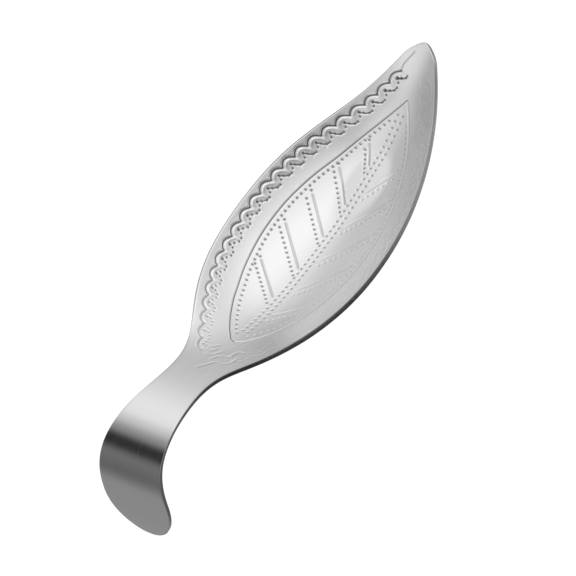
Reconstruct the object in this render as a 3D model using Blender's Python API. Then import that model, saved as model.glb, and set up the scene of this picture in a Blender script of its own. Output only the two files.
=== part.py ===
"""Leaf-shaped spoon rest: one piece of pressed steel sheet, dished as a leaf and curled down into a rear foot.

+Z up, +Y towards the leaf's tip, X across the leaf. The sole of the dish and the foot's end stand on z = 0.
The lists and dimensions below are in millimetres; the mesh is built in metres.
"""

import bpy
import numpy as np

MM = 0.001

SHEET = 2.0  # sheet thickness
EDGE_ROUND = 0.7  # radius of the dressed edges

# Upper surface seen from the side, (y, z): foot, hump, neck, then the leaf's rim up to its tip.
SPINE = [(-3.3, -0.17), (-3.7, 14.0), (-3.0, 28.0), (-1.0, 40.3), (5.0, 50.1), (17.5, 54.0), (31.5, 51.5),
         (55.5, 40.4), (73.0, 30.8), (99.0, 25.5), (138.0, 20.4), (178.0, 16.6), (202.0, 13.9),
         (213.5, 14.4), (225.5, 17.9), (236.8, 23.2)]

# Half width of the sheet, (distance along the spine, half width).
HALF_WIDTH = [(0, 15.2), (40, 15.1), (60, 13.6), (80, 11.5), (96, 10.5), (110, 11.9), (126, 17.2),
              (147, 27.0), (170, 33.7), (193, 35.3), (220, 32.6), (247, 24.6), (273, 13.6), (293, 4.6)]
FOOT_TONGUE = 27.0  # length of the foot's rounded end
TIP_ROUND = 7.0  # length of the leaf's rounded tip
END_FLAT = 0.1  # half width of the very ends, as a share of the width beside them

# Depth of the dish under its rim, (distance along the spine, depth).
DEPTH = [(104, 0), (112, 0.1), (120, 0.5), (130, 2), (140, 5), (150, 8.6), (166, 12.5), (190, 15.1),
         (220, 16.9), (240, 15.2), (258, 9.4), (272, 5.2), (283, 2.5), (293, 0)]
SOLE_BLEND = 0.8  # height over which the dish's belly eases into its flat sole

ROWS_FOOT, ROWS_SPAN, ROWS_TIP = 9, 58, 7
ACROSS = 17


def spline(points, at):
    """Natural cubic spline through the points, evaluated at the given positions."""
    x, y = (np.array(column, float) for column in zip(*points))
    h, n = np.diff(x), len(x)
    system, right = np.eye(n), np.zeros(n)
    for i in range(1, n - 1):
        system[i, i - 1:i + 2] = h[i - 1], 2 * (h[i - 1] + h[i]), h[i]
        right[i] = 6 * ((y[i + 1] - y[i]) / h[i] - (y[i] - y[i - 1]) / h[i - 1])
    bend = np.linalg.solve(system, right)
    at = np.clip(at, x[0], x[-1])
    i = np.clip(np.searchsorted(x, at) - 1, 0, n - 2)
    a, b = (x[i + 1] - at) / h[i], (at - x[i]) / h[i]
    return a * y[i] + b * y[i + 1] + ((a**3 - a) * bend[i] + (b**3 - b) * bend[i + 1]) * h[i]**2 / 6


def spine_curve():
    """The spine's y, z and distance from the foot's end, finely divided."""
    chord = np.r_[0, np.cumsum([np.hypot(b[0] - a[0], b[1] - a[1]) for a, b in zip(SPINE, SPINE[1:])])]
    t = np.linspace(0, chord[-1], 4000)
    y, z = (spline(list(zip(chord, column)), t) for column in zip(*SPINE))
    return y, z, np.r_[0, np.cumsum(np.hypot(np.diff(y), np.diff(z)))]


def on_sole(height):
    """Height of the belly over the ground, eased into the flat sole at zero."""
    eased = (height + SOLE_BLEND)**2 / (4 * SOLE_BLEND)
    return np.where(height < -SOLE_BLEND, 0, np.where(height > SOLE_BLEND, height, eased))


def upper_surface(spine, s, x):
    """Points of the upper surface at distance s along the spine and x across."""
    y, z, length = spine
    bowl = 1 - (x / spline(HALF_WIDTH, s))**2
    dished = np.interp(s, length, z) - np.maximum(spline(DEPTH, s), 0) * bowl
    height = np.where(s > DEPTH[0][0], SHEET + on_sole(dished - SHEET), dished)
    return np.stack([x, np.interp(s, length, y), height], -1)


def unit(v):
    return v / np.linalg.norm(v, axis=-1, keepdims=True)


def normals(spine, s, x):
    """Outward normals of the upper surface."""
    step = 0.2
    across = upper_surface(spine, s, x + step) - upper_surface(spine, s, x - step)
    along = upper_surface(spine, s + step, x) - upper_surface(spine, s - step, x)
    return unit(np.cross(across, along))


def outline(total):
    """Distance along the spine and half width of the sheet at every row, rounded at both ends."""
    turn = np.arcsin(END_FLAT)
    s = np.concatenate([FOOT_TONGUE * (1 - np.cos(np.linspace(turn, np.pi / 2, ROWS_FOOT))),
                        np.linspace(FOOT_TONGUE, total - TIP_ROUND, ROWS_SPAN)[1:-1],
                        total - TIP_ROUND * (1 - np.cos(np.linspace(np.pi / 2, turn, ROWS_TIP)))])
    from_foot = np.clip(1 - s / FOOT_TONGUE, 0, 1)
    from_tip = np.clip(1 - (total - s) / TIP_ROUND, 0, 1)
    return s, spline(HALF_WIDTH, s) * np.sqrt((1 - from_foot**2) * (1 - from_tip**2))


def edge_of(grid):
    """The outer points of a grid in order: right side, tip, left side, foot."""
    return np.concatenate([grid[:, -1], grid[-1, -2::-1], grid[-2::-1, 0], grid[0, 1:-1]])


def grid_faces(numbers):
    """Quads between neighbouring rows of point numbers."""
    corners = numbers[:-1, :-1], numbers[:-1, 1:], numbers[1:, 1:], numbers[1:, :-1]
    return np.stack([c.ravel() for c in corners], -1)


def sheet_mesh():
    """Points and faces of the sheet: upper grid, rounded edge, lower grid."""
    spine = spine_curve()
    s, w = outline(spine[2][-1])
    share = np.linspace(-1, 1, ACROSS)
    edge = edge_of(np.stack([np.repeat(s[:, None], ACROSS, 1), w[:, None] * share], -1))
    along = unit(np.roll(edge, -1, axis=0) - np.roll(edge, 1, axis=0))
    outward = np.stack([-along[:, 1], along[:, 0]], -1)
    inner = edge - EDGE_ROUND * outward
    rows = len(s)
    flat = np.stack([np.repeat(inner[:rows, :1], ACROSS, 1), inner[:rows, 1:] * share], -1).reshape(-1, 2)

    def layer(places, depth):
        at = places[:, 0], places[:, 1]
        return upper_surface(spine, *at) - depth * normals(spine, *at)

    turns = np.radians([45, 90])
    rings = [(np.sin(a), EDGE_ROUND * (1 - np.cos(a))) for a in turns]
    rings += [(out, SHEET - depth) for out, depth in rings[::-1]]
    points = np.concatenate([layer(flat, 0), layer(flat, SHEET)]
                            + [layer(inner + EDGE_ROUND * out * outward, depth) for out, depth in rings])

    upper = np.arange(rows * ACROSS).reshape(rows, ACROSS)
    lower = upper + upper.size
    loops = [edge_of(upper)]
    loops += [2 * upper.size + k * len(edge) + np.arange(len(edge)) for k in range(len(rings))]
    loops += [edge_of(lower)]
    wall = np.array([np.r_[loop, loop[0]] for loop in loops])
    faces = np.concatenate([grid_faces(upper), grid_faces(lower)[:, ::-1], grid_faces(wall.T)])
    return points, faces


def build():
    for old in list(bpy.data.objects):
        bpy.data.objects.remove(old)
    points, faces = sheet_mesh()
    points[:, 1] -= (points[:, 1].min() + points[:, 1].max()) / 2
    mesh = bpy.data.meshes.new("leaf_body")
    mesh.from_pydata((points * MM).tolist(), [], faces.tolist())
    mesh.shade_smooth()
    body = bpy.data.objects.new("leaf_body", mesh)
    bpy.context.scene.collection.objects.link(body)

    steel = bpy.data.materials.new("brushed_steel")
    steel.use_nodes = True
    shader = steel.node_tree.nodes["Principled BSDF"]
    shader.inputs["Base Color"].default_value = (0.72, 0.72, 0.72, 1)
    shader.inputs["Metallic"].default_value = 1
    shader.inputs["Roughness"].default_value = 0.3
    mesh.materials.append(steel)


build()
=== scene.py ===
"""Leaf-shaped spoon rest in brushed steel: the visual model, its studio and its camera.

Shapes are worked out in millimetres on the flat pattern of the sheet, as (across, along): across is x, and
along is the distance from the foot's end measured over the bends. They are then laid on the pressed surface
and turned into metres.
"""

import math

import bpy
import numpy as np
from mathutils import Matrix, Vector
from mathutils.geometry import delaunay_2d_cdt
from mathutils.kdtree import KDTree


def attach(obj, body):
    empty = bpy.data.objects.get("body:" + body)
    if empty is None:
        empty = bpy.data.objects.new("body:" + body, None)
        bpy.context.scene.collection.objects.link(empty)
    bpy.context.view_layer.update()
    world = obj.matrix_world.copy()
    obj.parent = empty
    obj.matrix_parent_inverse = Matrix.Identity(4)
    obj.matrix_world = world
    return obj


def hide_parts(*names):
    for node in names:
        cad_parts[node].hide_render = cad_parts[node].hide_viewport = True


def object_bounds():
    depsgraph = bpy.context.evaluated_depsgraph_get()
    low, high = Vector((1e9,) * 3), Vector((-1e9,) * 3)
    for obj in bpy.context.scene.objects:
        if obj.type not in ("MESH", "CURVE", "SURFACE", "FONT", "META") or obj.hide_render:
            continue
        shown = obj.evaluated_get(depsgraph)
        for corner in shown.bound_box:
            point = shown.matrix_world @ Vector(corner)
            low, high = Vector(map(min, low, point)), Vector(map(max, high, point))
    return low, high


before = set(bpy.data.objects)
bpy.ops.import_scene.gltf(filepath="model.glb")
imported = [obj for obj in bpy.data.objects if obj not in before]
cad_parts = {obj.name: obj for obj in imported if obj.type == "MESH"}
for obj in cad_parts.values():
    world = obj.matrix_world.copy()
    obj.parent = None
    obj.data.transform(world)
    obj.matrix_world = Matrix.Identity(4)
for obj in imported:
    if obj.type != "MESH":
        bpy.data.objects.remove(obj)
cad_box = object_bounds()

MM = 0.001

# ---------------------------------------------------------------- the pressed sheet, as in the CAD model

SHEET = 2.0
SPINE = [(-3.3, -0.17), (-3.7, 14.0), (-3.0, 28.0), (-1.0, 40.3), (5.0, 50.1), (17.5, 54.0), (31.5, 51.5),
         (55.5, 40.4), (73.0, 30.8), (99.0, 25.5), (138.0, 20.4), (178.0, 16.6), (202.0, 13.9),
         (213.5, 14.4), (225.5, 17.9), (236.8, 23.2)]
HALF_WIDTH = [(0, 15.2), (40, 15.1), (60, 13.6), (80, 11.5), (96, 10.5), (110, 11.9), (126, 17.2),
              (147, 27.0), (170, 33.7), (193, 35.3), (220, 32.6), (247, 24.6), (273, 13.6), (293, 4.6)]
FOOT_TONGUE = 27.0
TIP_ROUND = 7.0
END_FLAT = 0.1
DEPTH = [(104, 0), (112, 0.1), (120, 0.5), (130, 2), (140, 5), (150, 8.6), (166, 12.5), (190, 15.1),
         (220, 16.9), (240, 15.2), (258, 9.4), (272, 5.2), (283, 2.5), (293, 0)]
SOLE_BLEND = 0.8

EDGE_ROUND = 0.32  # dressed edges, finer than the CAD model's
EDGE_TURNS = 5  # facets in each rounded edge
ROWS_FOOT, ROWS_SPAN, ROWS_TIP = 26, 226, 12

# Painted shade: the edges that face the direction below on the flat pattern are coloured darker, and made
# rougher.
SHADED_SIDE = np.array([0.8, -0.6])
EDGE_SHADE_BAND = 0.9  # how far the painted shade reaches in from the edge
EDGE_SHADE_FROM, EDGE_SHADE_OVER = 0.1, 0.5  # how squarely an edge must face that way, and over what the painted shade sets in
EDGE_SHADE_REACH = [(60, 0), (100, 1), (175, 1), (215, 0)]  # where along the sheet it is strongest
EDGE_SHADE_RIM, EDGE_SHADE_ROUNDING = (0.0, 0.55), (0.4, 0.6)  # painted shade at the rim and on the rounding: everywhere, and added there
RUBBED_EDGE = 0.4  # wear along the rounded edges

# ---------------------------------------------------------------- the engraving, on the flat pattern

# Inner leaf outline, (along, half width).
LEAF_LINE = [(132.2, 0), (133.1, 2.1), (134.6, 3.5), (137.2, 5.6), (140.5, 7.9), (145, 10.6),
             (149.3, 12.8), (154.4, 15.1), (160.2, 17.1), (168.9, 19.8), (176.2, 21.4), (184.2, 22.6),
             (192.2, 23.2), (199.2, 23.2), (209.2, 22.5), (218.2, 21), (227.3, 18.8), (236.3, 15.9),
             (244.3, 13.2), (251.9, 10.1), (259.3, 6.5), (266.1, 2.8), (270.8, 0)]
# The row of dots inside that outline, (along, distance from it), and its pitch.
DOT_ROW_INSET = [(130, 2.7), (160, 2.5), (185, 2.2), (215, 2.0), (245, 1.7), (272, 1.7)]
DOT_ROW_SPAN = (137.6, 263.3)
DOT_ROW_CLEAR = 2.6  # the row stops this far from the midrib
DOT_PITCH = [(130, 2.9), (155, 2.86), (180, 2.74), (210, 2.68), (240, 2.55), (272, 2.5)]
MIDRIB_ROWS, MIDRIB_SPAN = (-1.6, 0.8), (140.6, 264.2)
MIDRIB_PITCH = 2.8

# Side veins, each a shallow line ((along, x) at the midrib, (along, x) outside) with a dotted row beside it.
VEINS = [((164.1, -3.5), (178.3, -17.2)), ((182.3, -2.8), (199.2, -18.3)), ((201.6, -2.9), (217.1, -16.3)),
         ((219.4, -3.0), (233.7, -13.2)), ((240.2, -3.2), (248.8, -7.4)), ((154.8, 3.2), (165.5, 14.3)),
         ((172.6, 3.7), (189.2, 18.1)), ((191.3, 4.0), (207.8, 17.4)), ((209.9, 3.2), (225.6, 14.4)),
         ((228.2, 2.8), (240.6, 9.6))]
VEIN_DOTS_BACK = 4.1  # how far the dotted row lies towards the handle
VEIN_DOTS_PITCH = 2.4
VEIN_DOTS_LONGER, VEIN_END_DOT = 1.3, 1.6  # how far the row and the single dot lie past the line's outer end

# Scalloped border: its cusps, (along, half width), and the shapes in one period of it, (periods along,
# mm inwards).
CUSPS = [(119.7, 7.5), (127.4, 12.3), (135.3, 16.3), (142.6, 19.9), (149.7, 23.3), (157, 26), (164.4, 28.2),
         (172.3, 29.8), (180.3, 30.8), (188.4, 31.4), (196.2, 31.6), (204, 31.3), (211.7, 30.6),
         (219.2, 29.5), (226.3, 27.9), (233.4, 26), (240.5, 23.6), (247.5, 20.9), (254.4, 18), (261.3, 14.8),
         (267.3, 12), (273.7, 9.2), (279.9, 6.3)]
SCALLOP = [(0, 0), (0.06, -0.5), (0.16, -1.0), (0.3, -1.4), (0.45, -1.52), (0.6, -1.36), (0.76, -0.92),
           (0.9, -0.35), (1.0, 0.05)]
ROPE = [(0.13, 0.35), (0.2, -0.02), (0.32, -0.36), (0.46, -0.48), (0.6, -0.3), (0.72, 0.08), (0.84, 0.62),
        (0.95, 1.2)]
TWIST = [(0.5, 0.84), (0.58, 1.3), (0.66, 1.8), (0.78, 2.45), (0.93, 2.95), (1.08, 3.1)]
EYE = [(0.5, 0.84)]
WAVE_DOTS = [(0.17, 3.15), (0.41, 2.2), (0.70, 1.95), (0.93, 3.05)]
BORDER_FADE_IN = (0, 3, 7), (0.45, 0.7, 1)  # the border's weight in its first periods
TWIST_FADE_IN = (7, 12), (0, 1)  # and that of the twist
NECK_LINES = [[(-1.1, 107.2), (0.3, 110.0), (1.7, 113.2), (2.8, 115.2), (3.8, 115.5), (5.2, 115.2),
               (6.7, 116.2), (7.8, 117.8), (8.2, 120.1), (8.3, 122.6)],
              [(-0.4, 115.9), (0.2, 117.3), (0.7, 119.3), (1.7, 120.1), (2.7, 120.9), (4.2, 121.0),
               (5.0, 122.0), (5.2, 124.0), (5.5, 125.9), (6.5, 127.1), (8.5, 127.3)],
              [(-4.1, 118.7), (-2.1, 118.6), (-1.1, 119.7), (-0.4, 121.9), (0.2, 123.3)],
              [(-4.9, 121.1), (-3.6, 121.6), (-2.8, 123.3)],
              [(-6.0, 124.4), (-4.8, 124.4), (-4.3, 125.5), (-3.2, 126.9)]]
CREST = [(6.3, 279.9), (6.2, 282.5), (5.2, 285), (3.4, 288.5)]

# Cuts and ridges are (half width, depth or height, how much darker the colour is in it), and pits are
# (radius, depth, how much darker).
OUTLINE_CUT, SCALLOP_CUT, TWIST_CUT = (0.42, 0.30, 0.9), (0.56, 0.50, 1.0), (0.50, 0.42, 1.0)
VEIN_CUT, END_CUT, NECK_CUT = (0.55, 0.13, 0.34), (0.45, 0.28, 0.6), (0.6, 0.17, 0.3)
ROPE_RIDGE = (0.62, 0.20, 0.0)
DOT_PIT, EYE_PIT, WAVE_PIT = (0.74, 0.36, 0.75), (0.84, 0.48, 1.0), (0.66, 0.40, 0.9)

# The right side is struck more lightly. These are weights, and the right outline is also coloured less dark.
RIGHT_BORDER, RIGHT_VEINS, RIGHT_DOTS, RIGHT_OUTLINE, RIGHT_OUTLINE_DARKER = 0.18, 0.45, 0.4, 0.8, 0.15
MIDRIB_WEIGHT = 0.85
BURR = 0.03  # raised lip of every cut

# ---------------------------------------------------------------- how finely it is all divided

PATH_PITCH, OUTLINE_PITCH, VEIN_PITCH = 0.45, 0.4, 0.5
CUT_GAP = 0.17  # least distance between points of the engraving
FILL = (1.15, 0.3, 0.62)  # the plain lattice: its pitch, its inset, and its distance from the other points
UNDER_FILL = (1.9, 0.4, 1.2)
LATTICE_HALF = 40  # wider than the sheet
ROW_STEP = 0.866  # between rows of a triangular lattice, as a share of its pitch

# ---------------------------------------------------------------- curves


def spline(points, at):
    """Natural cubic spline through the points, evaluated at the given positions."""
    x, y = (np.array(column, float) for column in zip(*points))
    h, n = np.diff(x), len(x)
    system, right = np.eye(n), np.zeros(n)
    for i in range(1, n - 1):
        system[i, i - 1:i + 2] = h[i - 1], 2 * (h[i - 1] + h[i]), h[i]
        right[i] = 6 * ((y[i + 1] - y[i]) / h[i] - (y[i] - y[i - 1]) / h[i - 1])
    bend = np.linalg.solve(system, right)
    at = np.clip(at, x[0], x[-1])
    i = np.clip(np.searchsorted(x, at) - 1, 0, n - 2)
    a, b = (x[i + 1] - at) / h[i], (at - x[i]) / h[i]
    return a * y[i] + b * y[i + 1] + ((a**3 - a) * bend[i] + (b**3 - b) * bend[i + 1]) * h[i]**2 / 6


def unit(v):
    return v / np.linalg.norm(v, axis=-1, keepdims=True)


def lengths(path):
    return np.r_[0, np.cumsum(np.linalg.norm(np.diff(path, axis=0), axis=1))]


def evenly(path, pitch):
    """Points on a path at about that pitch."""
    run = lengths(path)
    at = np.linspace(0, run[-1], max(1, round(run[-1] / pitch)) + 1)
    return np.stack([np.interp(at, run, path[:, k]) for k in (0, 1)], -1)


def paced(path, pitch):
    """Points on a path at a pitch that varies along the sheet."""
    run, at = lengths(path), [0.0]
    while at[-1] < run[-1]:
        along = np.interp(at[-1], run, path[:, 1])
        at.append(at[-1] + np.interp(along, *zip(*pitch)))
    return np.stack([np.interp(at[:-1], run, path[:, k]) for k in (0, 1)], -1)


def smooth_path(points, pitch=0.25):
    """A smooth curve through a few points, closely divided."""
    points = np.array(points, float)
    run = lengths(points)
    at = np.linspace(0, run[-1], max(4, int(run[-1] / pitch)))
    return np.stack([spline(list(zip(run, points[:, k])), at) for k in (0, 1)], -1)


def beside(path, offset):
    """The path moved sideways; a positive offset lies to the left of its direction."""
    along = unit(np.gradient(path, axis=0))
    return path + offset * np.stack([-along[:, 1], along[:, 0]], -1)


# ---------------------------------------------------------------- the surface


def spine_curve():
    """The spine's y, z and distance from the foot's end, finely divided."""
    chord = np.r_[0, np.cumsum([np.hypot(b[0] - a[0], b[1] - a[1]) for a, b in zip(SPINE, SPINE[1:])])]
    t = np.linspace(0, chord[-1], 4000)
    y, z = (spline(list(zip(chord, column)), t) for column in zip(*SPINE))
    return y, z, np.r_[0, np.cumsum(np.hypot(np.diff(y), np.diff(z)))]


SPINE_CURVE = spine_curve()
TOTAL = SPINE_CURVE[2][-1]
MIDDLE_Y = 117.05  # the middle of the object along y, on the spine's own scale


def on_sole(height):
    """Height of the belly over the ground, eased into the flat sole at zero."""
    eased = (height + SOLE_BLEND)**2 / (4 * SOLE_BLEND)
    return np.where(height < -SOLE_BLEND, 0, np.where(height > SOLE_BLEND, height, eased))


def upper_surface(flat):
    """Points of the upper surface for (across, along)."""
    x, s = flat[:, 0], flat[:, 1]
    y, z, length = SPINE_CURVE
    bowl = 1 - (x / spline(HALF_WIDTH, s))**2
    dished = np.interp(s, length, z) - np.maximum(spline(DEPTH, s), 0) * bowl
    height = np.where(s > DEPTH[0][0], SHEET + on_sole(dished - SHEET), dished)
    return np.stack([x, np.interp(s, length, y), height], -1)


def normals(flat):
    step = 0.2
    across, along = np.array([step, 0]), np.array([0, step])
    return unit(np.cross(upper_surface(flat + across) - upper_surface(flat - across),
                         upper_surface(flat + along) - upper_surface(flat - along)))


def sheet_edge():
    """The sheet's outline on the flat pattern, anticlockwise from the foot, and its outward directions."""
    turn = np.arcsin(END_FLAT)
    s = np.concatenate([FOOT_TONGUE * (1 - np.cos(np.linspace(turn, np.pi / 2, ROWS_FOOT))),
                        np.linspace(FOOT_TONGUE, TOTAL - TIP_ROUND, ROWS_SPAN)[1:-1],
                        TOTAL - TIP_ROUND * (1 - np.cos(np.linspace(np.pi / 2, turn, ROWS_TIP)))])
    from_foot = np.clip(1 - s / FOOT_TONGUE, 0, 1)
    from_tip = np.clip(1 - (TOTAL - s) / TIP_ROUND, 0, 1)
    w = spline(HALF_WIDTH, s) * np.sqrt((1 - from_foot**2) * (1 - from_tip**2))
    right = np.stack([w, s], -1)
    loop = np.concatenate([right, (right * [-1, 1])[::-1]])
    loop = np.insert(loop, 0, [[0.0, s[0]]], axis=0)
    along = unit(np.roll(loop, -1, axis=0) - np.roll(loop, 1, axis=0))
    return loop, np.stack([along[:, 1], -along[:, 0]], -1)


# ---------------------------------------------------------------- the engraving's paths and dots


def mirrored(path):
    return path * [-1, 1]


def leaf_half():
    """The right half of the inner outline."""
    s = np.linspace(LEAF_LINE[0][0], LEAF_LINE[-1][0], 600)
    return np.stack([np.maximum(spline(LEAF_LINE, s), 0), s], -1)


def border_places(shape):
    """The points of one shape, (periods along, mm inwards), in every period of the right border."""
    cusps = np.array([(half, along) for along, half in CUSPS])
    tangent = unit(np.gradient(cusps, axis=0))
    steps = np.linalg.norm(np.diff(cusps, axis=0), axis=1)
    for k, step in enumerate(steps):
        frames = [(cusps[k], tangent[k]), (cusps[k + 1], tangent[k + 1])]
        places = []
        for a, inward in shape:
            share = min(max(a, 0), 1)
            spots = [origin + t * (a - j) * step + np.array([-t[1], t[0]]) * inward
                     for j, (origin, t) in enumerate(frames)]
            places.append(spots[0] * (1 - share) + spots[1] * share)
        yield np.array(places)


def engraving():
    """Cuts and ridges, (path, kind, half width, size, darkening), and pits, (centre, radius, depth,
    darkening).
    """
    lines, pits = [], []

    def line(path, kind, facts, weight=1.0, dark_share=1.0):
        half, size, cut_darkening = facts
        lines.append((path, kind, half, size * weight, cut_darkening * weight * dark_share))

    def dots(path, facts, weight=1.0):
        radius, size, cut_darkening = facts
        pits.extend((p, radius, size * weight, cut_darkening * weight) for p in path)

    outline = leaf_half()
    line(evenly(outline, OUTLINE_PITCH), "cut", OUTLINE_CUT, RIGHT_OUTLINE, RIGHT_OUTLINE_DARKER)
    line(evenly(mirrored(outline), OUTLINE_PITCH), "cut", OUTLINE_CUT)
    inset = np.interp(outline[:, 1], *zip(*DOT_ROW_INSET))[:, None]
    row = beside(outline, 1.0) - outline
    row = outline + row * inset
    row = row[(row[:, 0] > DOT_ROW_CLEAR) & (row[:, 1] > DOT_ROW_SPAN[0]) & (row[:, 1] < DOT_ROW_SPAN[1])]
    row = paced(row, DOT_PITCH)
    dots(row, DOT_PIT, RIGHT_DOTS)
    dots(mirrored(row), DOT_PIT)
    for x in MIDRIB_ROWS:
        dots(evenly(np.array([(x, s) for s in MIDRIB_SPAN]), MIDRIB_PITCH), DOT_PIT, MIDRIB_WEIGHT)

    for inner, outer in VEINS:
        weight = 1.0 if inner[1] < 0 else RIGHT_VEINS
        vein = np.array([inner[::-1], outer[::-1]], float)
        line(evenly(vein, VEIN_PITCH), "flat", VEIN_CUT, weight)
        dots([vein[1] + unit(vein[1] - vein[0]) * VEIN_END_DOT], DOT_PIT, weight)
        beads = vein - [0, VEIN_DOTS_BACK]
        beads[1] += unit(beads[1] - beads[0]) * VEIN_DOTS_LONGER
        dots(evenly(beads, VEIN_DOTS_PITCH), DOT_PIT, weight)

    for turn, weight in ((mirrored, 1.0), (np.array, RIGHT_BORDER)):
        shapes = (SCALLOP, ROPE, TWIST, EYE, WAVE_DOTS)
        for k, (arc, rope, twist, eye, wave) in enumerate(zip(*map(border_places, shapes))):
            arc, rope, twist, eye, wave = map(turn, (arc, rope, twist, eye, wave))
            start = weight * float(np.interp(k, *BORDER_FADE_IN))
            line(evenly(smooth_path(arc), PATH_PITCH), "cut", SCALLOP_CUT, start)
            line(evenly(smooth_path(rope), PATH_PITCH), "ridge", ROPE_RIDGE, start)
            joined = float(np.interp(k, *TWIST_FADE_IN))
            if joined > 0:
                line(evenly(smooth_path(twist), PATH_PITCH), "cut", TWIST_CUT, weight * joined)
            dots(eye, EYE_PIT, start)
            dots(wave, WAVE_PIT, start)
        line(evenly(smooth_path(turn(np.array(CREST))), PATH_PITCH), "cut", END_CUT, weight)
    for path in NECK_LINES:
        line(evenly(smooth_path(path), PATH_PITCH), "cut", NECK_CUT)
    return lines, pits


ROWS = {"cut": (0, 1, 1.75), "flat": (0, 0.62, 1, 1.6), "ridge": (0, 0.5, 1)}  # in half widths
RINGS = ((0, 1), (0.54, 6), (1.0, 10), (1.42, 12))  # (share of the radius, points)


def engraving_points(lines, pits):
    """Points of the flat pattern that carry the engraving, the most telling ones first."""
    ranked = {0: [], 1: [], 2: []}
    for path, kind, half, _, _ in lines:
        for row in ROWS[kind]:
            for side in ((1,) if row == 0 else (1, -1)):
                ranked[0 if row == 0 else 1 if row <= 1 else 2].append(beside(path, side * row * half))
    for centre, radius, _, _ in pits:
        for rank, (share, count) in enumerate(RINGS):
            turn = np.arange(count) * 2 * np.pi / count
            ring = centre + share * radius * np.stack([np.cos(turn), np.sin(turn)], -1)
            ranked[(0, 1, 1, 2)[rank]].append(ring)
    return np.concatenate([p for rank in (0, 1, 2) for p in ranked[rank]])


def apart(points, gap, kept=()):
    """The points in order, without any that lies nearer than gap to one kept before it."""
    cells, out = {}, []
    for n, p in enumerate(list(kept) + list(points)):
        i, j = int(p[0] // gap), int(p[1] // gap)
        near = (q for a in (-1, 0, 1) for b in (-1, 0, 1) for q in cells.get((i + a, j + b), ()))
        if n >= len(kept) and any((p[0] - q[0])**2 + (p[1] - q[1])**2 < gap * gap for q in near):
            continue
        cells.setdefault((i, j), []).append(p)
        if n >= len(kept):
            out.append(p)
    return np.array(out)


def path_distance(points, path):
    """Distance from each point to a path."""
    a, b = path[:-1], path[1:]
    d = b - a
    t = ((points[:, None] - a) * d).sum(-1) / np.maximum((d * d).sum(-1), 1e-12)
    nearest = a + np.clip(t, 0, 1)[..., None] * d
    return np.linalg.norm(points[:, None] - nearest, axis=-1).min(1)


def lip(d, half):
    """The burr along a cut, 1 on the cut's edge."""
    return np.clip(1 - np.abs(d - half * 1.03) / (half * 0.72), 0, 1)


def relief(flat, lines, pits):
    """Height over the plain sheet, and how much darker each point is coloured, from 0 to 1."""
    low, high, deep = np.zeros(len(flat)), np.zeros(len(flat)), np.zeros(len(flat))
    for path, kind, half, size, cut_darkening in lines:
        margin = 2 * half
        near = np.nonzero(np.all((flat > path.min(0) - margin) & (flat < path.max(0) + margin), axis=1))[0]
        if not len(near):
            continue
        d = path_distance(flat[near], path)
        if kind == "ridge":
            high[near] = np.maximum(high[near], size * np.clip(1 - (d / half)**2, 0, 1))
            continue
        share = np.clip(1 - d / half, 0, 1) if kind == "cut" else np.clip((half - d) / (0.38 * half), 0, 1)
        low[near] = np.maximum(low[near], size * share)
        deep[near] = np.maximum(deep[near], cut_darkening * share)
        high[near] = np.maximum(high[near], BURR * lip(d, half))
    tree = KDTree(len(pits))
    for n, (centre, _, _, _) in enumerate(pits):
        tree.insert((centre[0], centre[1], 0), n)
    tree.balance()
    for n, p in enumerate(flat):
        _, k, d = tree.find((p[0], p[1], 0))
        radius, size, cut_darkening = pits[k][1:]
        if d < 1.8 * radius:
            share = max(0.0, 1 - (d / radius)**2)
            low[n], deep[n] = max(low[n], size * share), max(deep[n], cut_darkening * share)
            high[n] = max(high[n], BURR * float(lip(d, radius)))
    return np.where(low > 0, -low, high), deep


# ---------------------------------------------------------------- the mesh


def lattice(edge, facts, avoid):
    """A triangular lattice inside the sheet, clear of the edge and of the points to avoid."""
    pitch, inset, gap = facts
    rows = [[(x + (n % 2) * pitch / 2, s) for x in np.arange(-LATTICE_HALF, LATTICE_HALF, pitch)]
            for n, s in enumerate(np.arange(0, TOTAL, pitch * ROW_STEP))]
    points = np.concatenate(rows)
    right = edge[edge[:, 0] > 0]
    order = np.argsort(right[:, 1])
    half = np.interp(points[:, 1], right[order, 1], right[order, 0], left=0, right=0)
    points = points[np.abs(points[:, 0]) < half - inset]
    near = KDTree(len(avoid) + len(edge))
    for n, p in enumerate(np.concatenate([avoid, edge]) if len(avoid) else edge):
        near.insert((p[0], p[1], 0), n)
    near.balance()
    return np.array([p for p in points if near.find((p[0], p[1], 0))[2] > gap])


def triangulated(edge, inside):
    """Points and triangles of a layer. The edge's points come first, in their order."""
    count = len(edge)
    rim = [(k, (k + 1) % count) for k in range(count)]
    given = [Vector(p) for p in np.concatenate([edge, inside])]
    found, _, faces, origin, _, _ = delaunay_2d_cdt(given, rim, [], 1, 1e-5)
    flat = np.array([tuple(p) for p in found])
    place = {source[0]: n for n, source in enumerate(origin) if source}
    order = [place[k] for k in range(count)]
    rest = [n for n in range(len(flat)) if n not in set(order)]
    renumber = np.empty(len(flat), int)
    renumber[order + rest] = np.arange(len(flat))
    return flat[order + rest], renumber[np.array(faces)]


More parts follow.
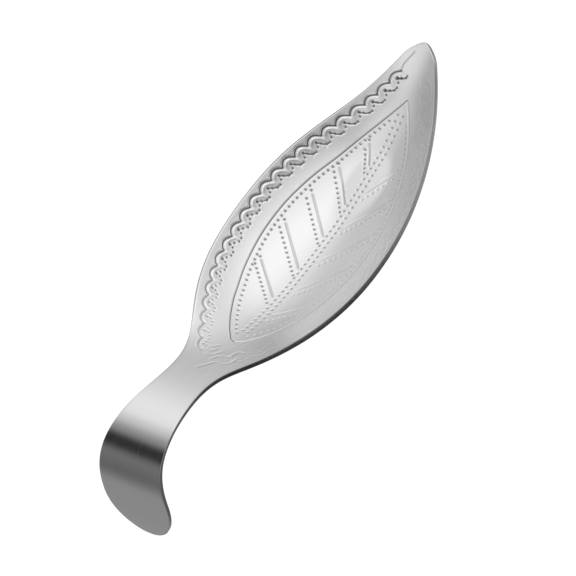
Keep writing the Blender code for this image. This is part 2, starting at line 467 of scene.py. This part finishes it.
def sheet_mesh():
    """The whole sheet: points, faces, flat pattern per face corner, the faces with the darker edge material,
    wear, and the darkening of the cuts with the painted edge shade.
    """
    edge, outward = sheet_edge()
    inner = edge - EDGE_ROUND * outward
    lines, pits = engraving()
    # The first points, a little inside the edge, are where the painted shade along it fades out.
    cut = apart(np.concatenate([inner - EDGE_SHADE_BAND * outward, engraving_points(lines, pits)]), CUT_GAP)
    fill = lattice(inner, FILL, cut)
    flat, upper_faces = triangulated(inner, np.concatenate([cut, fill]))
    height, deep = relief(flat, lines, pits)
    surface, facing = upper_surface(flat), normals(flat)
    upper = surface + facing * height[:, None]

    under_flat, under_faces = triangulated(inner, lattice(inner, UNDER_FILL, np.zeros((0, 2))))
    under = upper_surface(under_flat) - SHEET * normals(under_flat)

    turns = np.linspace(0, np.pi / 2, EDGE_TURNS + 1)[1:]
    rings = [(np.sin(a), EDGE_ROUND * (1 - np.cos(a)), EDGE_ROUND * a) for a in turns]
    girth = EDGE_ROUND * np.pi + SHEET - 2 * EDGE_ROUND
    rings += [(out, SHEET - down, girth - run) for out, down, run in rings[::-1]]
    top, facing = upper_surface(inner), normals(inner)
    outside = unit(upper_surface(edge + outward * 0.2) - upper_surface(edge - outward * 0.2))
    outside = unit(outside - facing * (outside * facing).sum(-1, keepdims=True))
    layers = [top + EDGE_ROUND * out * outside - down * facing for out, down, _ in rings]

    n, count = len(upper), len(inner)
    base = n + len(under)
    loops = [np.arange(count)]
    loops += [base + k * count + np.arange(count) for k in range(len(rings))]
    loops += [n + np.arange(count)]
    runs = [0.0] + [run for _, _, run in rings] + [girth]
    points = np.concatenate([upper, under] + layers)
    faces = [list(f) for f in upper_faces] + [[f[0] + n, f[2] + n, f[1] + n] for f in under_faces]
    corners = [flat[f] for f in upper_faces] + [under_flat[[f[0], f[2], f[1]]] for f in under_faces]
    dark_edge_faces = [0] * len(faces)
    for k in range(len(loops) - 1):
        for a in range(count):
            b = (a + 1) % count
            faces.append([loops[k][a], loops[k + 1][a], loops[k + 1][b], loops[k][b]])
            corners.append([inner[a] + outward[a] * runs[k], inner[a] + outward[a] * runs[k + 1],
                            inner[b] + outward[b] * runs[k + 1], inner[b] + outward[b] * runs[k]])
            # The wall takes the darker edge material, partly painted shade; where the edge faces one side,
            # the roundings beside it take it too, as painted shade.
            dark_edge_faces.append(int(abs(k - EDGE_TURNS) < (3 if outward[a] @ SHADED_SIDE > 0 else 1)))
    wear = np.zeros(len(points))
    wear[:n] = np.clip(height / ROPE_RIDGE[1], 0, 1)
    for loop in loops[:4] + loops[-4:]:
        wear[loop] = RUBBED_EDGE
    # Painted shade along the edges that face one side, strongest over part of the sheet's length.
    shade_facing = np.clip((outward @ SHADED_SIDE - EDGE_SHADE_FROM) / EDGE_SHADE_OVER, 0, 1)
    strongest = np.interp(edge[:, 1], *zip(*EDGE_SHADE_REACH))
    cut_dark_and_edge_shade = np.zeros(len(points))
    cut_dark_and_edge_shade[:n] = deep
    cut_dark_and_edge_shade[loops[0]] = shade_facing * (EDGE_SHADE_RIM[0] + EDGE_SHADE_RIM[1] * strongest)
    for loop in loops[1:-1]:
        cut_dark_and_edge_shade[loop] = shade_facing * (EDGE_SHADE_ROUNDING[0] + EDGE_SHADE_ROUNDING[1] * strongest)
    return points, faces, np.concatenate([np.array(c) for c in corners]), dark_edge_faces, wear, cut_dark_and_edge_shade


def fitted(points, box):
    """The points scaled to fill the box exactly."""
    lo, hi = (np.array(corner) for corner in box)
    low, high = points.min(0), points.max(0)
    return lo + (points - low) * (hi - lo) / (high - low)


# ---------------------------------------------------------------- materials


class Nodes:
    """Short calls for building a node tree."""

    def __init__(self, tree):
        self.tree = tree

    def add(self, kind, inputs=(), **settings):
        node = self.tree.nodes.new(kind)
        for key, value in settings.items():
            setattr(node, key, value)
        for key, value in dict(inputs).items():
            if hasattr(value, "is_output"):
                self.tree.links.new(value, node.inputs[key])
            else:
                node.inputs[key].default_value = value
        return node

    def math(self, operation, a, b=0.0):
        return self.add("ShaderNodeMath", {0: a, 1: b}, operation=operation).outputs[0]

    def spread(self, value, low, high, to_low, to_high):
        return self.add("ShaderNodeMapRange", {"Value": value, "From Min": low, "From Max": high,
                                               "To Min": to_low, "To Max": to_high},
                        interpolation_type="SMOOTHSTEP").outputs["Result"]

    def noise(self, vector, scale, detail=2.0):
        settings = {"Vector": vector, "Scale": scale, "Detail": detail}
        return self.add("ShaderNodeTexNoise", settings).outputs["Fac"]

    def stretched(self, vector, scale):
        return self.add("ShaderNodeVectorMath", {0: vector, 1: scale}, operation="MULTIPLY").outputs[0]

    def grey(self, value):
        return self.add("ShaderNodeCombineColor", {"Red": value, "Green": value, "Blue": value}).outputs[0]


def new_material(name):
    material = bpy.data.materials.new(name)
    material.use_nodes = True
    shader = material.node_tree.nodes["Principled BSDF"]
    return material, Nodes(material.node_tree), shader


def brushed_steel():
    """Satin steel brushed lengthwise, brighter where it is rubbed, duller and darker down in the cuts, and
    with painted shade on the edges that face one side.
    """
    material, nodes, shader = new_material("brushed_steel_satin")
    sheet = nodes.add("ShaderNodeUVMap", uv_map="Sheet").outputs[0]
    wear = nodes.add("ShaderNodeAttribute", attribute_name="wear").outputs["Fac"]
    cut_dark_and_edge_shade = nodes.add("ShaderNodeAttribute", attribute_name="cut_dark_and_edge_shade").outputs["Fac"]
    hair = nodes.noise(nodes.stretched(sheet, (2600, 42, 1)), 1.0, 3.0)
    streak = nodes.noise(nodes.stretched(sheet, (420, 14, 1)), 1.0, 3.0)
    cloud = nodes.noise(nodes.stretched(sheet, (38, 24, 1)), 1.0, 3.0)

    rough = nodes.spread(hair, 0.3, 0.7, 0.24, 0.26)
    rough = nodes.math("ADD", rough, nodes.spread(streak, 0.3, 0.7, -0.006, 0.008))
    rough = nodes.math("ADD", rough, nodes.spread(cloud, 0.3, 0.7, -0.01, 0.014))
    rough = nodes.math("ADD", rough, nodes.spread(cut_dark_and_edge_shade, 0, 1, 0.0, 0.12))
    rough = nodes.math("ADD", rough, nodes.spread(wear, 0, 1, 0.0, -0.05))
    tone = nodes.spread(streak, 0.25, 0.75, 0.782, 0.796)
    tone = nodes.math("ADD", tone, nodes.spread(cloud, 0.3, 0.7, -0.006, 0.006))
    tone = nodes.math("ADD", tone, nodes.spread(wear, 0, 1, 0.0, 0.04))
    # Darker down in the cuts and pits, and painted shade on the edges that face one side.
    tone = nodes.math("SUBTRACT", tone, nodes.spread(cut_dark_and_edge_shade, 0, 1, 0.0, 0.69))
    bump = nodes.add("ShaderNodeBump", {"Strength": 0.03, "Distance": 0.00002, "Height": hair}).outputs[0]
    tangent = nodes.add("ShaderNodeTangent", direction_type="UV_MAP", uv_map="Sheet").outputs[0]
    tree = material.node_tree
    tree.links.new(nodes.grey(tone), shader.inputs["Base Color"])
    tree.links.new(rough, shader.inputs["Roughness"])
    tree.links.new(bump, shader.inputs["Normal"])
    tree.links.new(tangent, shader.inputs["Tangent"])
    shader.inputs["Metallic"].default_value = 1
    shader.inputs["Anisotropic"].default_value = 0.45
    return material


def sheared_edge_and_shade():
    """The cut edge of the sheet: duller, and darker partly as its sheared finish and partly as painted shade,
    with fine marks across its thickness.
    """
    material, nodes, shader = new_material("brushed_steel_edge")
    place = nodes.add("ShaderNodeTexCoord").outputs["Object"]
    cut_dark_and_edge_shade = nodes.add("ShaderNodeAttribute", attribute_name="cut_dark_and_edge_shade").outputs["Fac"]
    marks = nodes.noise(nodes.stretched(place, (1400, 1400, 160)), 1.0, 2.0)
    cloud = nodes.noise(place, 60.0, 2.0)
    # Darker than the face: partly the sheared finish, partly painted shade.
    tone = nodes.spread(marks, 0.3, 0.7, 0.38, 0.44)
    tone = nodes.math("ADD", tone, nodes.spread(cloud, 0.3, 0.7, -0.02, 0.02))
    # Painted shade where the edge faces one side.
    tone = nodes.math("SUBTRACT", tone, nodes.spread(cut_dark_and_edge_shade, 0, 1, 0.0, 0.26))
    tree = material.node_tree
    tree.links.new(nodes.grey(tone), shader.inputs["Base Color"])
    tree.links.new(nodes.spread(marks, 0.3, 0.7, 0.28, 0.34), shader.inputs["Roughness"])
    bump = nodes.add("ShaderNodeBump", {"Strength": 0.3, "Distance": 0.00003, "Height": marks}).outputs[0]
    tree.links.new(bump, shader.inputs["Normal"])
    shader.inputs["Metallic"].default_value = 1
    return material


# ---------------------------------------------------------------- the piece


def linked(name, mesh):
    piece = bpy.data.objects.new(name, mesh)
    bpy.context.scene.collection.objects.link(piece)
    return piece


def leaf_rest():
    points, faces, corners, dark_edge_faces, wear, cut_dark_and_edge_shade = sheet_mesh()
    mesh = bpy.data.meshes.new("leaf_rest")
    mesh.from_pydata(fitted(points * MM, cad_box).tolist(), [], [[int(i) for i in f] for f in faces])
    mesh.uv_layers.new(name="Sheet").data.foreach_set("uv", (corners * MM).astype(np.float32).ravel())
    for name, values in (("wear", wear), ("cut_dark_and_edge_shade", cut_dark_and_edge_shade)):
        mesh.attributes.new(name, "FLOAT", "POINT").data.foreach_set("value", values.astype(np.float32))
    mesh.materials.append(brushed_steel())
    mesh.materials.append(sheared_edge_and_shade())
    mesh.polygons.foreach_set("material_index", np.array(dark_edge_faces, np.int32))
    mesh.shade_smooth()
    mesh.update()
    piece = linked("leaf_rest", mesh)
    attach(piece, "root")
    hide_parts("leaf_body")
    return piece


# ---------------------------------------------------------------- studio and camera

CAMERA_RIGHT, CAMERA_UP = (0.8423, 0.4914, -0.2215), (-0.3233, 0.7894, 0.5218)
CAMERA_AIM = (0.00316, -0.00324, 0.01695)
FRAME_WIDTH = 0.2363  # what the picture spans at the object
CAMERA_DISTANCE = 6.0
SENSOR = 36.0

FLOOR_REACH = 20.0
FLOOR_GAP = 0.0002  # between the floor and the object's lowest point

# Brightness of soft lights spread evenly all round the object, in a spiral from the zenith down. Each falls
# to half at LIGHT_SPREAD degrees from its middle.
LIGHT_SPREAD = 15.0
LIGHT_LEVELS = [0.41, 0.17, 0.44, 0.28, 0.52, 0.29, 0.42, 0.3, 0.21, 0.48, 0.07, 0.15, 0.46, 0.01, 0.1, 0.6,
                0.42, 0.34, 0.25, 0.25, 0.6, 0.7, 0.06, 0.2, 0.28, 0.64, 0.41, 0.33, 0.03, 0.13, 0.49, 0.23,
                0.01, 0.08, 0.36, 0.35, 0.23, 0.54, 0.24, 0.35, 0, 0.2, 0.23, 0.18, 0, 0.39, 0, 0.18, 0.03, 0,
                0.22, 0.04, 0, 0.42, 0.55, 0.06, 0.43, 0, 0, 1.06, 0.21, 0.22, 0.91, 0.15, 0, 0.04, 0.19, 0,
                0.17, 0.1, 0.03, 0.21, 0, 0.25, 0.01, 0, 0.16, 0, 0.02, 0.04, 0, 0.07, 0.34, 0.11, 0.11, 0, 0,
                0.26, 0.29, 0.14, 0.3, 0, 0.12, 0.18, 0.29, 0.28, 0.1, 0.25, 0.54, 0.18, 0, 0.14, 0.03, 0.25,
                0.01, 0.15, 0, 0.23, 0, 0.31]

# A curved screen behind the camera's left that only the bend of the handle mirrors. Each row gives the place
# on the handle, as a distance along it, that mirrors it, and its brightness there.
SCREEN = [(35.0, 0.285), (36.0, 0.27), (38.0, 0.22), (40.0, 0.172), (42.0, 0.142), (44.0, 0.14),
          (46.0, 0.155), (48.0, 0.168), (50.0, 0.17), (51.0, 0.15), (52.0, 0.11), (53.0, 0.055),
          (54.0, 0.012), (56.0, 0.003), (57.0, 0.003), (58.0, 0.05), (59.0, 0.16), (60.0, 0.25),
          (62.0, 0.34), (64.0, 0.58), (66.0, 0.72), (67.5, 0.80)]
SCREEN_REACH, SCREEN_HALF = 80.0, 90.0  # its distance from the handle, and its half width


def light_directions(count):
    k = np.arange(count) + 0.5
    height, turn = 1 - 2 * k / count, math.pi * (1 + math.sqrt(5)) * k
    reach = np.sqrt(1 - height**2)
    return np.stack([reach * np.cos(turn), reach * np.sin(turn), height], -1)


def make_world():
    world = bpy.data.worlds.new("studio")
    world.use_nodes = True
    nodes = Nodes(world.node_tree)
    direction = nodes.add("ShaderNodeTexCoord").outputs["Generated"]
    sharpness = math.log(2) / (1 - math.cos(math.radians(LIGHT_SPREAD)))
    light = 0.0
    for toward, level in zip(light_directions(len(LIGHT_LEVELS)), LIGHT_LEVELS):
        if not level:
            continue
        dot = nodes.add("ShaderNodeVectorMath", {0: direction, 1: toward.tolist()}, operation="DOT_PRODUCT")
        short = nodes.math("SUBTRACT", dot.outputs["Value"], 1.0)
        fall = nodes.math("EXPONENT", nodes.math("MULTIPLY", short, sharpness))
        light = nodes.math("ADD", nodes.math("MULTIPLY", fall, level), light)
    background = world.node_tree.nodes["Background"]
    world.node_tree.links.new(nodes.grey(light), background.inputs["Color"])
    bpy.context.scene.world = world


def plane(name, corners, material):
    mesh = bpy.data.meshes.new(name)
    mesh.from_pydata([tuple(c) for c in corners], [], [[0, 1, 2, 3]])
    mesh.materials.append(material)
    piece = linked(name, mesh)
    return piece


def make_floor():
    material, _, shader = new_material("pale_floor")
    shader.inputs["Base Color"].default_value = (0.3, 0.3, 0.3, 1)
    shader.inputs["Roughness"].default_value = 1
    shader.inputs["Specular IOR Level"].default_value = 0
    shader.inputs["Emission Color"].default_value = (1, 1, 1, 1)
    shader.inputs["Emission Strength"].default_value = 0.9
    reach, level = FLOOR_REACH, cad_box[0].z - FLOOR_GAP
    floor = plane("floor", [(-reach, -reach, level), (reach, -reach, level), (reach, reach, level),
                            (-reach, reach, level)], material)
    floor.visible_glossy = False


def make_screen():
    """A screen seen only in the handle's bend, dark across its middle."""
    material, nodes, shader = new_material("screen_grey")
    level = nodes.add("ShaderNodeAttribute", attribute_name="level").outputs["Fac"]
    shader.inputs["Base Color"].default_value = (0, 0, 0, 1)
    shader.inputs["Specular IOR Level"].default_value = 0
    shader.inputs["Emission Strength"].default_value = 1
    material.node_tree.links.new(nodes.grey(level), shader.inputs["Emission Color"])
    flat = np.array([(0.0, s) for s, _ in SCREEN])
    view = np.cross(CAMERA_RIGHT, CAMERA_UP)
    facing = normals(flat)
    mirrored_ray = 2 * (facing @ view)[:, None] * facing - view
    middle = upper_surface(flat) + SCREEN_REACH * mirrored_ray - [0, MIDDLE_Y, 0]
    points = np.concatenate([middle - [SCREEN_HALF, 0, 0], middle + [SCREEN_HALF, 0, 0]]) * MM
    count = len(SCREEN)
    mesh = bpy.data.meshes.new("screen")
    mesh.from_pydata(points.tolist(), [], [[k, k + 1, count + k + 1, count + k] for k in range(count - 1)])
    mesh.attributes.new("level", "FLOAT", "POINT").data.foreach_set("value", [b for _, b in SCREEN] * 2)
    mesh.materials.append(material)
    screen = linked("screen", mesh)
    screen.visible_camera = screen.visible_diffuse = screen.visible_shadow = False


def make_camera():
    right, up = Vector(CAMERA_RIGHT).normalized(), Vector(CAMERA_UP)
    up = (up - right * up.dot(right)).normalized()
    back = right.cross(up)
    data = bpy.data.cameras.new("camera")
    data.sensor_width = SENSOR
    data.lens = SENSOR * CAMERA_DISTANCE / FRAME_WIDTH
    data.clip_end = 100
    camera = linked("camera", data)
    camera.matrix_world = Matrix.Translation(Vector(CAMERA_AIM) + back * CAMERA_DISTANCE) @ Matrix(
        (right, up, back)).transposed().to_4x4()
    bpy.context.scene.camera = camera


leaf_rest()
make_world()
make_floor()
make_screen()
make_camera()
bpy.context.scene.view_settings.view_transform = "Standard"
